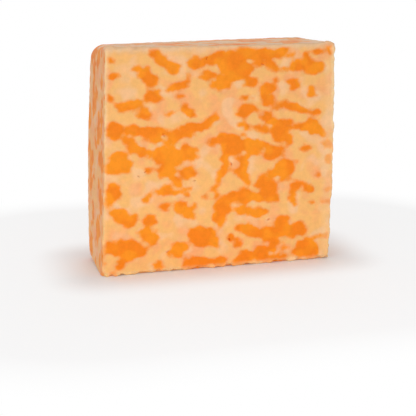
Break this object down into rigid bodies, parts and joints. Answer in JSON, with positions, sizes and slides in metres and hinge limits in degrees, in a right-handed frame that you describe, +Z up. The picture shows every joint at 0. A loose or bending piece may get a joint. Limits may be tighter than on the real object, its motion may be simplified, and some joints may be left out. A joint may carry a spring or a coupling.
{
  "type": "colby jack cheese block",
  "caption": "Upright block of marbled orange and cream cheese: a flat fresh-cut front with crisp edges, and a back with rounded mould edges.",
  "frame": {"origin": "centre of the foot's box, on the surface that the block stands on", "axes": "+X to the right along the cut face, +Y from the cut face into the block's depth, +Z up"},
  "size_m": [0.1945, 0.061, 0.1792],
  "materials": {
    "cheese": "matt, slightly moist"
  },
  "bodies": {
    "root": {"cheese_block": "cheese"}
  },
  "joints": []
}
